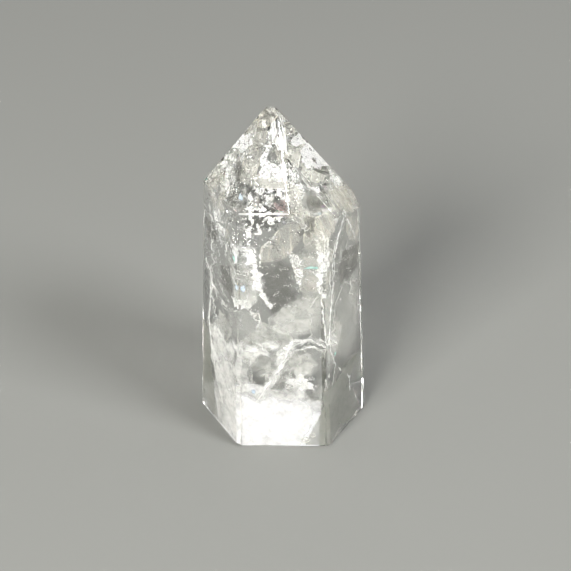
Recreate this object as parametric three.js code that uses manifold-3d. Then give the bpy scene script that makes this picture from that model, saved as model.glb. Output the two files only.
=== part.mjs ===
// Rainbow quartz obelisk: one piece of clear rock crystal, cut and polished to a
// six-sided tower with a many-faceted point, and sawn flat at the foot so that it stands.
// Millimetres, +Z up. The origin is the middle of the foot's bounding box, on the ground.
import * as THREE from 'three';
import { ConvexGeometry } from 'three/addons/geometries/ConvexGeometry.js';
import * as BufferGeometryUtils from 'three/addons/utils/BufferGeometryUtils.js';
import Module from 'manifold-3d';

// Driving dimensions of the whole stone
const WIDTH = 35.7;          // across the left and right corners of the foot
const DEPTH = 27.9;          // from the front face to the back face at the foot
const HEIGHT = 75.2;         // ground to the tip
const CORNER_SKEW = 0.6;     // the left corner lies this far behind the middle, the right one before it

// Heights where the six-sided column ends and the point begins
const LEFT_SHOULDER = 58.8;
const FRONT_SHOULDER = 59.4;
const RIGHT_SHOULDER = 53.0;

// Polished edges
const EDGE_BEVEL = 0.32;     // width of the fine flat along each edge of the column and the point
const FOOT_BEVEL = 0.55;     // width of the flat ground around the foot
const CHIP_RADIUS = 3.2;     // radius of the shell-shaped bruise on the front left corner of the foot
const CHIP_BITE = 0.75;      // how deep that bruise reaches into the corner

const TRIPLE_TOLERANCE = 1e-6;    // a corner may lie this far outside a face and still count
const MERGE_TOLERANCE = 0.01;     // corners nearer than this are one corner
const WELD_TOLERANCE = 1e-4;      // vertices nearer than this are welded before a cut

// Corners that the faces pass through
const LEFT_FOOT = [-WIDTH / 2, CORNER_SKEW, 0];
const RIGHT_FOOT = [WIDTH / 2, -CORNER_SKEW, 0];
const FRONT_FOOT = [0, -DEPTH / 2, 0];
const BACK_FOOT = [0, DEPTH / 2, 0];
const LEFT_TOP = [-16.13, 0.49, LEFT_SHOULDER];
const RIGHT_TOP = [15.8, -0.15, RIGHT_SHOULDER];
const FRONT_LEFT_TOP = [-8.9, -12.38, FRONT_SHOULDER];
const FRONT_RIGHT_TOP = [8.2, -12.54, RIGHT_SHOULDER + 0.1];
const TIP = [-1.75, 2.45, HEIGHT];
const RIGHT_OF_TIP = [0.22, 2.64, HEIGHT - 2.4];

// Every flat face: the compass direction that it looks to (degrees from +X towards +Y),
// its slope (degrees from level, so 90 is upright) and a point that it passes through.
const COLUMN_FACES = [
  { name: 'front', azimuth: -90.3, slope: 88.5, through: FRONT_FOOT },
  { name: 'left', azimuth: -150.7, slope: 88.6, through: LEFT_FOOT },
  { name: 'right', azimuth: -31.0, slope: 87.85, through: RIGHT_FOOT },
  { name: 'back', azimuth: 90.0, slope: 88.5, through: BACK_FOOT },
  { name: 'back left', azimuth: 148.5, slope: 88.5, through: LEFT_FOOT },
  { name: 'back right', azimuth: 32.5, slope: 88.2, through: RIGHT_FOOT },
];
const POINT_FACES = [
  { name: 'front facet', azimuth: -90.3, slope: 46.4, through: FRONT_LEFT_TOP },
  { name: 'left facet', azimuth: -152.2, slope: 55.0, through: LEFT_TOP },
  { name: 'front right facet', azimuth: -46.0, slope: 51.8, through: FRONT_RIGHT_TOP },
  { name: 'right facet', azimuth: -18.5, slope: 51.4, through: RIGHT_TOP },
  { name: 'right corner facet', azimuth: 5.0, slope: 61.0, through: RIGHT_TOP },
  { name: 'back left facet', azimuth: 150.0, slope: 58.0, through: LEFT_TOP },
  { name: 'back facet', azimuth: 92.0, slope: 53.0, through: TIP },
  { name: 'back right facet', azimuth: 35.0, slope: 57.7, through: RIGHT_OF_TIP },
];

// A flat face as an outward normal and the point that it passes through
function facePlane({ azimuth, slope, through }) {
  const turn = THREE.MathUtils.degToRad(azimuth);
  const tilt = THREE.MathUtils.degToRad(slope);
  const normal = new THREE.Vector3(
    Math.cos(turn) * Math.sin(tilt),
    Math.sin(turn) * Math.sin(tilt),
    Math.cos(tilt),
  );
  return new THREE.Plane().setFromNormalAndCoplanarPoint(normal, new THREE.Vector3(...through));
}

// The point where three planes meet, or null where they have none in common
function meetingPoint(a, b, c) {
  const cross = new THREE.Vector3().crossVectors(b.normal, c.normal);
  const volume = a.normal.dot(cross);
  if (Math.abs(volume) < TRIPLE_TOLERANCE) {
    return null;
  }
  const point = cross.multiplyScalar(-a.constant);
  point.addScaledVector(new THREE.Vector3().crossVectors(c.normal, a.normal), -b.constant);
  point.addScaledVector(new THREE.Vector3().crossVectors(a.normal, b.normal), -c.constant);
  return point.divideScalar(volume);
}

// All corners of the solid that lies inside every plane, each with the planes that meet there
function solidCorners(planes) {
  const corners = [];
  for (let i = 0; i < planes.length; i += 1) {
    for (let j = i + 1; j < planes.length; j += 1) {
      for (let k = j + 1; k < planes.length; k += 1) {
        const point = meetingPoint(planes[i], planes[j], planes[k]);
        if (point && planes.every((plane) => plane.distanceToPoint(point) < TRIPLE_TOLERANCE)) {
          corners.push({ point, meets: [i, j, k] });
        }
      }
    }
  }
  return corners;
}

// The fine flat that takes off the edge between two faces, as a plane across their outer corner
function bevelPlane(first, second, onEdge, width) {
  const normal = first.normal.clone().add(second.normal).normalize();
  const halfTurn = first.normal.angleTo(second.normal) / 2;
  const depth = (width / 2) * Math.tan(halfTurn);
  const through = onEdge.clone().addScaledVector(normal, -depth);
  return new THREE.Plane().setFromNormalAndCoplanarPoint(normal, through);
}

// One bevel for every edge of the solid; the edges around the foot get the wider one
function edgeBevels(planes, foot) {
  const corners = solidCorners(planes);
  const bevels = [];
  for (let i = 0; i < planes.length; i += 1) {
    for (let j = i + 1; j < planes.length; j += 1) {
      const shared = corners.filter(({ meets }) => meets.includes(i) && meets.includes(j));
      const long = shared.some(({ point }) => point.distanceTo(shared[0].point) > 2 * EDGE_BEVEL);
      if (long) {
        const width = planes[i] === foot || planes[j] === foot ? FOOT_BEVEL : EDGE_BEVEL;
        bevels.push(bevelPlane(planes[i], planes[j], shared[0].point, width));
      }
    }
  }
  return bevels;
}

// Corners without their near doubles, so that no sliver faces are made
function distinctPoints(corners) {
  const points = [];
  for (const { point } of corners) {
    if (points.every((other) => other.distanceTo(point) > MERGE_TOLERANCE)) {
      points.push(point);
    }
  }
  return points;
}

// The polished stone: all the faces, and a bevel on each edge between them
function polishedBlank() {
  const foot = new THREE.Plane(new THREE.Vector3(0, 0, -1), 0);
  const faces = [foot, ...COLUMN_FACES.map(facePlane), ...POINT_FACES.map(facePlane)];
  const corners = solidCorners([...faces, ...edgeBevels(faces, foot)]);
  return new ConvexGeometry(distinctPoints(corners));
}

// A ball of flat facets that breaks a shell-shaped bruise out of the foot's front left corner
function footChip() {
  const front = facePlane(COLUMN_FACES[0]);
  const left = facePlane(COLUMN_FACES[1]);
  const ground = new THREE.Plane(new THREE.Vector3(0, 0, -1), 0);
  const corner = meetingPoint(front, left, ground);
  const outward = new THREE.Vector3().add(front.normal).add(left.normal).add(ground.normal);
  const centre = corner.addScaledVector(outward.normalize(), CHIP_RADIUS - CHIP_BITE);
  return new THREE.IcosahedronGeometry(CHIP_RADIUS, 3).translate(centre.x, centre.y, centre.z);
}

// A closed mesh with its shared vertices merged, as a solid that can be cut
function toSolid(wasm, geometry) {
  geometry.deleteAttribute('normal');
  geometry.deleteAttribute('uv');
  const merged = BufferGeometryUtils.mergeVertices(geometry, WELD_TOLERANCE);
  return new wasm.Manifold(new wasm.Mesh({
    numProp: 3,
    vertProperties: new Float32Array(merged.attributes.position.array),
    triVerts: new Uint32Array(merged.index.array),
  }));
}

// A solid back as a geometry, moved so that its foot is centred on the origin
function toCentredGeometry(solid) {
  const { vertProperties, triVerts } = solid.getMesh();
  const geometry = new THREE.BufferGeometry();
  geometry.setAttribute('position', new THREE.BufferAttribute(new Float32Array(vertProperties), 3));
  geometry.setIndex(new THREE.BufferAttribute(new Uint32Array(triVerts), 1));
  geometry.computeBoundingBox();
  const box = geometry.boundingBox;
  geometry.translate(-(box.min.x + box.max.x) / 2, -(box.min.y + box.max.y) / 2, -box.min.z);
  geometry.computeVertexNormals();
  return geometry;
}

const wasm = await Module();
wasm.setup();

const clearQuartz = new THREE.MeshStandardMaterial({
  name: 'clear rock crystal with milky veils',
  color: 0xeff2ea,
  roughness: 0.05,
  metalness: 0,
});

const stone = toSolid(wasm, polishedBlank()).subtract(toSolid(wasm, footChip()));
const quartzPoint = new THREE.Mesh(toCentredGeometry(stone), clearQuartz);
quartzPoint.name = 'quartz_point';

const obelisk = new THREE.Group();
obelisk.name = 'rainbow_quartz_obelisk';
obelisk.add(quartzPoint);

export default obelisk;
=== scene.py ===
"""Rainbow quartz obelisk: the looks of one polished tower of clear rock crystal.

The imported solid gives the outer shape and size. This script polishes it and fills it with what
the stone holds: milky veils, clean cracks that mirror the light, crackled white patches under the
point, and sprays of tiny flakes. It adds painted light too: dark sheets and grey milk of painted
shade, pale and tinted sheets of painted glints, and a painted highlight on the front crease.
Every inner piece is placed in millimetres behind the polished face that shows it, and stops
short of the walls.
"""
import logging
import math
from dataclasses import dataclass
from enum import Enum
from typing import ClassVar

import bmesh
import bpy
import numpy as np
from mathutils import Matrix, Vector


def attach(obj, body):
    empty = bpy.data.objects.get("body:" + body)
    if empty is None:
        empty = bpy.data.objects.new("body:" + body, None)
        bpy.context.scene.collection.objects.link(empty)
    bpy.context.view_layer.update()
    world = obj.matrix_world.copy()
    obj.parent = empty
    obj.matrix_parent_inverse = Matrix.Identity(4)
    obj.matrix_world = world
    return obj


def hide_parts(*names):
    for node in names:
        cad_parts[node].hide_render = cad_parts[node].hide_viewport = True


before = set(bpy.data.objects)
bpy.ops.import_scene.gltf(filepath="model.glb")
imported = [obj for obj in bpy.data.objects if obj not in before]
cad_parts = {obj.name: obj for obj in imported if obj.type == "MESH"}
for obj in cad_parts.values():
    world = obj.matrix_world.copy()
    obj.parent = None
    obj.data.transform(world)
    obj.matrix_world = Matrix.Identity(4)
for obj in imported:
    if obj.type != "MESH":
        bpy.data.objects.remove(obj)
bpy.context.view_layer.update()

LOG = logging.getLogger("quartz_obelisk")
NODE = "quartz_point"
BODY = "root"
MM = 0.001
QUARTZ_IOR = 1.544
WATER_IOR = 1.33
# How far short of the stone's faces things stop, in millimetres: sheets, sheets that lie flush
# with a face, and veins and flakes.
SHEET_GAP, FLUSH_GAP, SMALL_GAP = 0.35, 0.2, 0.3


def linear(hex_colour: str) -> tuple:
    """Turn an sRGB hex colour into linear RGBA.

    Args:
        hex_colour: six hex digits with a leading hash.

    Returns:
        Linear red, green and blue, and an alpha of 1.
    """
    parts = [int(hex_colour[i:i + 2], 16) / 255 for i in (1, 3, 5)]
    return tuple(c / 12.92 if c <= 0.04045 else ((c + 0.055) / 1.055) ** 2.4 for c in parts) + (1.0,)


def add_node(tree: bpy.types.NodeTree, kind: str, inputs: dict, **settings) -> bpy.types.NodeSocket:
    """Add one node with its settings, values and links.

    Args:
        tree: the node tree that gets it.
        kind: Blender's name for the node type.
        inputs: socket name or index to a value, or to the output socket that feeds it.
        settings: properties of the node itself.

    Returns:
        The new node's first output.
    """
    node = tree.nodes.new(kind)
    for name, value in settings.items():
        setattr(node, name, value)
    for key, value in inputs.items():
        if isinstance(value, bpy.types.NodeSocket):
            tree.links.new(value, node.inputs[key])
        else:
            node.inputs[key].default_value = value
    return node.outputs[0]


def new_material(name: str, colour: str, sockets: dict) -> tuple:
    """Start a material with one Principled shader.

    Args:
        name: what the real finish is called.
        colour: its base colour, as a hex colour.
        sockets: the shader's other sockets, by name, and their values.

    Returns:
        The material, its node tree and its Principled node.
    """
    material = bpy.data.materials.new(name)
    material.use_nodes = True
    shader = material.node_tree.nodes["Principled BSDF"]
    shader.inputs["Base Color"].default_value = linear(colour)
    for socket, value in sockets.items():
        shader.inputs[socket].default_value = value
    return material, material.node_tree, shader


def add_object(name: str, data: bpy.types.ID) -> bpy.types.Object:
    """Put a mesh, a lamp or a camera into the scene.

    Args:
        name: the object's name.
        data: what it shows.

    Returns:
        The new object.
    """
    thing = bpy.data.objects.new(name, data)
    bpy.context.scene.collection.objects.link(thing)
    return thing


@dataclass(frozen=True)
class PolishedQuartz:
    """Clear rock crystal, lapped and polished: a hard gloss, and bent, sharp views of what is inside."""

    name: str = "quartz_polished"
    absorption: str = "#F1F4EC"
    density: float = 4.0

    def material(self) -> bpy.types.Material:
        """Make the see-through material, tinted only by what it absorbs.

        Returns:
            The material.
        """
        polished = {"Transmission Weight": 1, "IOR": QUARTZ_IOR, "Roughness": 0}
        material, tree, _ = new_material(self.name, "#FFFFFF", polished)
        volume = add_node(tree, "ShaderNodeVolumeAbsorption",
                          {"Color": linear(self.absorption), "Density": self.density})
        tree.links.new(volume, tree.nodes["Material Output"].inputs["Volume"])
        return material


@dataclass(frozen=True)
class PaintedEdgeHighlight:
    """Matt quartz, part white, on the front crease alone: the white is a painted highlight, a thin bright
    line where the front face meets its facet.
    """

    name: str = "quartz_painted_edge_highlight"
    clearness: float = 0.85
    roughness: float = 0.4

    def material(self) -> bpy.types.Material:
        """Make the material, part see-through and part white."""
        matt = {"Transmission Weight": self.clearness, "IOR": QUARTZ_IOR, "Roughness": self.roughness}
        return new_material(self.name, "#FFFFFF", matt)[0]


# In dark, grey and tinted colours this material also makes sheets of painted shade and painted glints.
@dataclass(frozen=True)
class MilkyVeil:
    """A healed fracture full of hair-fine bubbles: white where they crowd, clear where they thin out.

    The bubbles are far too fine to show, so the pattern is as coarse as the clouds they make.
    The white is a noise of grain_mm, drawn out by stretch. It starts where the noise passes
    least and is full where it passes most. Towards the sheet's edge both are raised by erode,
    so that the border frays. The rim is the bright line of a crisp edge. Between the first two
    of its breaks the same noise lets it fall to the third. Mottle is the share of the white that
    specks, a finer noise, take away.
    """

    name: str
    colour: str
    strength: float
    grain_mm: float
    least: float
    most: float
    stretch: tuple = (1, 1, 1)
    erode: float = 0.3
    rim: float = 0.9
    rough_grain: float = 0.6
    mottle: float = 0.35
    roughness: float = 0.6
    rim_breaks: tuple = (0.35, 0.55, 0.3)
    specks: tuple = (0.42, 0.54)
    speck_fineness: float = 3.7

    def material(self) -> bpy.types.Material:
        """Make the white whose see-through share follows the noise, the sheet's edge and its rim.

        Returns:
            The material.
        """
        material, tree, shader = new_material(f"veil_{self.name}", self.colour,
                                              {"Roughness": self.roughness})
        place = add_node(tree, "ShaderNodeUVMap", {}, uv_map="sheet")
        drawn = add_node(tree, "ShaderNodeMapping", {"Vector": place, "Scale": self.stretch})
        noise = add_node(tree, "ShaderNodeTexNoise", {
            "Vector": drawn, "Scale": 1 / self.grain_mm, "Detail": 9, "Roughness": self.rough_grain,
            "Distortion": 0.3})
        edge, line = (add_node(tree, "ShaderNodeAttribute", {}, attribute_name=name).node.outputs["Fac"]
                      for name in ("fade", "rim"))
        frayed = add_node(tree, "ShaderNodeMath", {0: edge, 1: self.erode, 2: noise},
                          operation="MULTIPLY_ADD")
        share = add_node(tree, "ShaderNodeMapRange", {
            "Value": frayed, "From Min": self.least + self.erode, "From Max": self.most + self.erode,
            "To Max": self.strength}, interpolation_type="SMOOTHSTEP")
        low, high, dim = self.rim_breaks
        broken = add_node(tree, "ShaderNodeMapRange", {
            "Value": noise, "From Min": low, "From Max": high, "To Min": dim * self.rim, "To Max": self.rim})
        bright = add_node(tree, "ShaderNodeMath", {0: broken, 1: line}, operation="MULTIPLY")
        total = add_node(tree, "ShaderNodeMath", {0: share, 1: bright}, operation="MAXIMUM")
        fine = add_node(tree, "ShaderNodeTexNoise", {
            "Vector": drawn, "Scale": self.speck_fineness / self.grain_mm, "Detail": 6, "Roughness": 0.65})
        thinned = add_node(tree, "ShaderNodeMapRange", {
            "Value": fine, "From Min": self.specks[0], "From Max": self.specks[1],
            "To Min": 1 - self.mottle}, interpolation_type="SMOOTHSTEP")
        kept = add_node(tree, "ShaderNodeMath", {0: total, 1: thinned}, operation="MULTIPLY")
        tree.links.new(kept, shader.inputs["Alpha"])
        return material


@dataclass(frozen=True)
class CleanCrack:
    """A fresh fracture, a hair-thin gap of air: a silver flash at a slant, and colours where wet."""

    name: str
    film_nm: float = 0.0

    def material(self) -> bpy.types.Material:
        """Make the gap as clear stuff that bends light less than the quartz round it."""
        gap = {"Transmission Weight": 1, "IOR": 1 / QUARTZ_IOR, "Roughness": 0,
               "Thin Film Thickness": self.film_nm, "Thin Film IOR": WATER_IOR}
        return new_material(self.name, "#FFFFFF", gap)[0]


@dataclass(frozen=True)
class Grain:
    """An opaque speck: white crushed quartz glitters, a grain of another mineral is a dark dot."""

    name: str
    colour: str
    roughness: float

    def material(self) -> bpy.types.Material:
        """Make the opaque material of one colour."""
        return new_material(self.name, self.colour, {"Roughness": self.roughness})[0]


class Face(Enum):
    """The polished faces, by the compass direction each looks to and its tip upwards, in degrees."""

    FRONT = (-90, 2)
    LEFT = (-151, 2)
    RIGHT = (-31, 2)
    BACK = (90, 2)
    BACK_LEFT = (148, 2)
    BACK_RIGHT = (32, 2)
    TIP_FRONT = (-90, 44)
    TIP_LEFT = (-152, 35)
    TIP_RIGHT = (-47, 38)
    SHOULDER = (-18, 39)
    TIP_BACK = (92, 37)


(FRONT, LEFT, RIGHT, BACK, BACK_LEFT, BACK_RIGHT,
 TIP_FRONT, TIP_LEFT, TIP_RIGHT, SHOULDER, TIP_BACK) = Face


def facing(azimuth: float, tilt: float) -> np.ndarray:
    """Return the unit vector that looks to a compass direction and up by a tilt, both in degrees."""
    turn, tip = math.radians(azimuth), math.radians(tilt)
    return np.array([math.cos(turn) * math.cos(tip), math.sin(turn) * math.cos(tip), math.sin(tip)])


@dataclass(frozen=True)
class Plane:
    """A flat place inside the stone: its middle, its steps of 1 mm across and up, and where it faces."""

    middle: np.ndarray
    across: np.ndarray
    up: np.ndarray
    outward: np.ndarray

    @classmethod
    def turned(cls, middle: np.ndarray, azimuth: float, tilt: float, spin: float) -> "Plane":
        """Set up a plane by its middle, the direction it faces and its turn in itself.

        Args:
            middle: its middle, in millimetres.
            azimuth: the compass direction it faces, in degrees.
            tilt: how far it faces up, in degrees.
            spin: its turn in itself, in degrees.

        Returns:
            The plane.
        """
        outward = facing(azimuth, tilt)
        level = np.array([-math.sin(math.radians(azimuth)), math.cos(math.radians(azimuth)), 0.0])
        steep, turn = np.cross(outward, level), math.radians(spin)
        return cls(middle, level * math.cos(turn) + steep * math.sin(turn),
                   steep * math.cos(turn) - level * math.sin(turn), outward)

    def place(self, x: np.ndarray, y: np.ndarray) -> np.ndarray:
        """Return the points x across and y up from the middle, one per row."""
        return self.middle + x[:, None] * self.across + y[:, None] * self.up


@dataclass(frozen=True)
class CrystalWalls:
    """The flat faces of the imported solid, as outward normals and offsets in millimetres."""

    normals: np.ndarray
    offsets: np.ndarray
    eye: np.ndarray

    @classmethod
    def from_node(cls, node: bpy.types.Object, eye: np.ndarray, least_area: float = 1.0) -> "CrystalWalls":
        """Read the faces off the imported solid.

        Args:
            node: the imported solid.
            eye: where the stone is looked at from, in millimetres.
            least_area: triangles smaller than this, in square millimetres, are bevels and don't count.

        Returns:
            The walls, each plane once: normals are told apart to 0.01, offsets to 0.2 mm.
        """
        mesh = node.data
        mesh.calc_loop_triangles()
        corners = np.empty(len(mesh.vertices) * 3)
        mesh.vertices.foreach_get("co", corners)
        ids = np.empty(len(mesh.loop_triangles) * 3, dtype=np.int64)
        mesh.loop_triangles.foreach_get("vertices", ids)
        triangles = corners.reshape(-1, 3)[ids.reshape(-1, 3)] / MM
        cross = np.cross(triangles[:, 1] - triangles[:, 0], triangles[:, 2] - triangles[:, 0])
        area = np.linalg.norm(cross, axis=1)
        large = area > 2 * least_area
        normals = cross[large] / area[large, None]
        offsets = np.einsum("ij,ij->i", normals, triangles[large, 0])
        _, first = np.unique(np.round(np.c_[normals, offsets / 20], 2), axis=0, return_index=True)
        return cls(normals[first], offsets[first], eye)

    def reach(self, points: np.ndarray, directions: np.ndarray, gap: float) -> np.ndarray:
        """How far each point may move along its direction before it meets a wall.

        Args:
            points: places in millimetres, one per row.
            directions: unit directions, one per row.
            gap: how far short of the wall to stop.

        Returns:
            The distances, never below zero.
        """
        still = 1e-6
        room = self.offsets[None, :] - gap - points @ self.normals.T
        speed = directions @ self.normals.T
        reach = np.where(speed > still, room / np.maximum(speed, still), np.inf)
        return np.maximum(reach.min(axis=1), 0.0)

    def press(self, points: np.ndarray, gap: float) -> np.ndarray:
        """Move points that are too near a wall, or past it, straight back from it.

        Args:
            points: places in millimetres, one per row.
            gap: how far from each wall they have to stay.

        Returns:
            The places, moved where need be. Three rounds settle them between two or three walls.
        """
        pressed = points.copy()
        for _ in range(3):
            for normal, offset in zip(self.normals, self.offsets):
                excess = np.maximum(pressed @ normal - (offset - gap), 0.0)
                pressed -= excess[:, None] * normal
        return pressed

    def behind(self, face: Face, across: float, up: float, depth: float, turn: float | None,
               tip: float) -> Plane:
        """Find the plane at a depth behind a polished face, where the face shows a given spot.

        Spots on a face are counted across and up from its point nearest the middle of the foot.
        The line of sight bends as it enters: by Snell's law on the faces that the eye sees, and
        straight in on the others. Across and up keep their looks from the eye when the plane is
        turned away from it, because each step slides along the line of sight onto the plane.

        Args:
            face: the polished face.
            across: where on the face, to the right as seen from outside, in millimetres.
            up: where on the face, upwards.
            depth: how far behind it, along the bent line of sight.
            turn: how far the plane is turned to its right from facing the eye, in degrees, or None
                where it lies flush with the face.
            tip: how far it is tipped up.

        Returns:
            The plane, with its middle at that place.
        """
        k = int(np.argmax(self.normals @ facing(*face.value)))
        normal = self.normals[k]
        right = np.cross((0, 0, 1), normal)
        right /= np.linalg.norm(right)
        upward = np.cross(normal, right)
        spot = normal * self.offsets[k] + across * right + up * upward
        sight = (spot - self.eye) / np.linalg.norm(spot - self.eye)
        cosine = -float(sight @ normal)
        # Faces seen at less than 3 degrees count as unseen.
        if cosine > 0.05:
            bend = math.sqrt(1 - (1 - cosine ** 2) / QUARTZ_IOR ** 2)
            sight = sight / QUARTZ_IOR + (cosine / QUARTZ_IOR - bend) * normal
        else:
            sight = -normal
        level = np.cross((0, 0, 1), -sight)
        level /= np.linalg.norm(level)
        steep = np.cross(-sight, level)
        a, b = math.radians(turn or 0), math.radians(tip)
        outward = (-sight * math.cos(a) + level * math.sin(a)) * math.cos(b) + steep * math.sin(b)
        outward = normal if turn is None else outward
        steps = [step - sight * (step @ outward) / (sight @ outward) for step in (right, upward)]
        return Plane(spot + depth * sight, steps[0], steps[1], outward)


def smooth_noise(x: np.ndarray, y: np.ndarray, length: float, seed: int, waves: int = 7) -> np.ndarray:
    """Soft noise: a sum of sine waves with seeded directions and phases.

    The waves are 0.7 to 1.5 times as long as the mean, and their sum is divided by about the
    root of their number.

    Args:
        x: first coordinate.
        y: second coordinate.
        length: the mean wave length, in the same unit.
        seed: picks the waves.
        waves: how many are added.

    Returns:
        Values mostly between -1 and 1.
    """
    draw = np.random.default_rng(seed)
    turn = draw.uniform(0, math.tau, waves)
    phase = draw.uniform(0, math.tau, waves)
    count = math.tau / (length * draw.uniform(0.7, 1.5, waves))
    total = np.zeros_like(x, dtype=float)
    for k in range(waves):
        total += np.sin(count[k] * (x * math.cos(turn[k]) + y * math.sin(turn[k])) + phase[k])
    return total / math.sqrt(waves * 0.9)


def soft_step(share: np.ndarray) -> np.ndarray:
    """Return 0 below 0, 1 above 1, and a smooth rise between."""
    held = np.clip(share, 0, 1)
    return held * held * (3 - 2 * held)


def oval(across: float, up: float, width: float, height: float, spin: float = 0.0,
         corners: int = 18) -> tuple:
    """List the corners of an ellipse: its middle, plus half its width and height times cosine and sine.

    Args:
        across: where its middle is.
        up: where its middle is.
        width: its full width.
        height: its full height.
        spin: its turn, in degrees.
        corners: how many corners stand for the round.

    Returns:
        Pairs of across and up.
    """
    angle, turn = np.linspace(0, math.tau, corners, endpoint=False), math.radians(spin)
    x, y = 0.5 * width * np.cos(angle), 0.5 * height * np.sin(angle)
    return tuple(zip(across + x * math.cos(turn) - y * math.sin(turn),
                     up + x * math.sin(turn) + y * math.cos(turn)))


# The border of a broken pane: nearly straight, crisp and bright all round.
PANE_BORDER = {"ragged": 0.05, "fade": 0.12, "rim": 0.14, "ringed": True}


def ring_bands(rings: np.ndarray, after: np.ndarray) -> np.ndarray:
    """List the quads between each ring of vertices and the next; after holds each one's neighbour."""
    return np.stack([rings[:-1], rings[1:], after[1:], after[:-1]], axis=-1).reshape(-1, 4)


@dataclass(frozen=True)
class Inclusion:
    """Something inside the stone: its finish, the face that shows it, its depth behind it and its turn.

    Depth is in millimetres along the line of sight. Turn and tip are degrees away from facing
    the eye, to the right and upwards. A turn of None lays it flush with the face.
    """

    name: str
    finish: str
    face: Face
    depth: float
    turn: float | None
    tip: float


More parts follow.
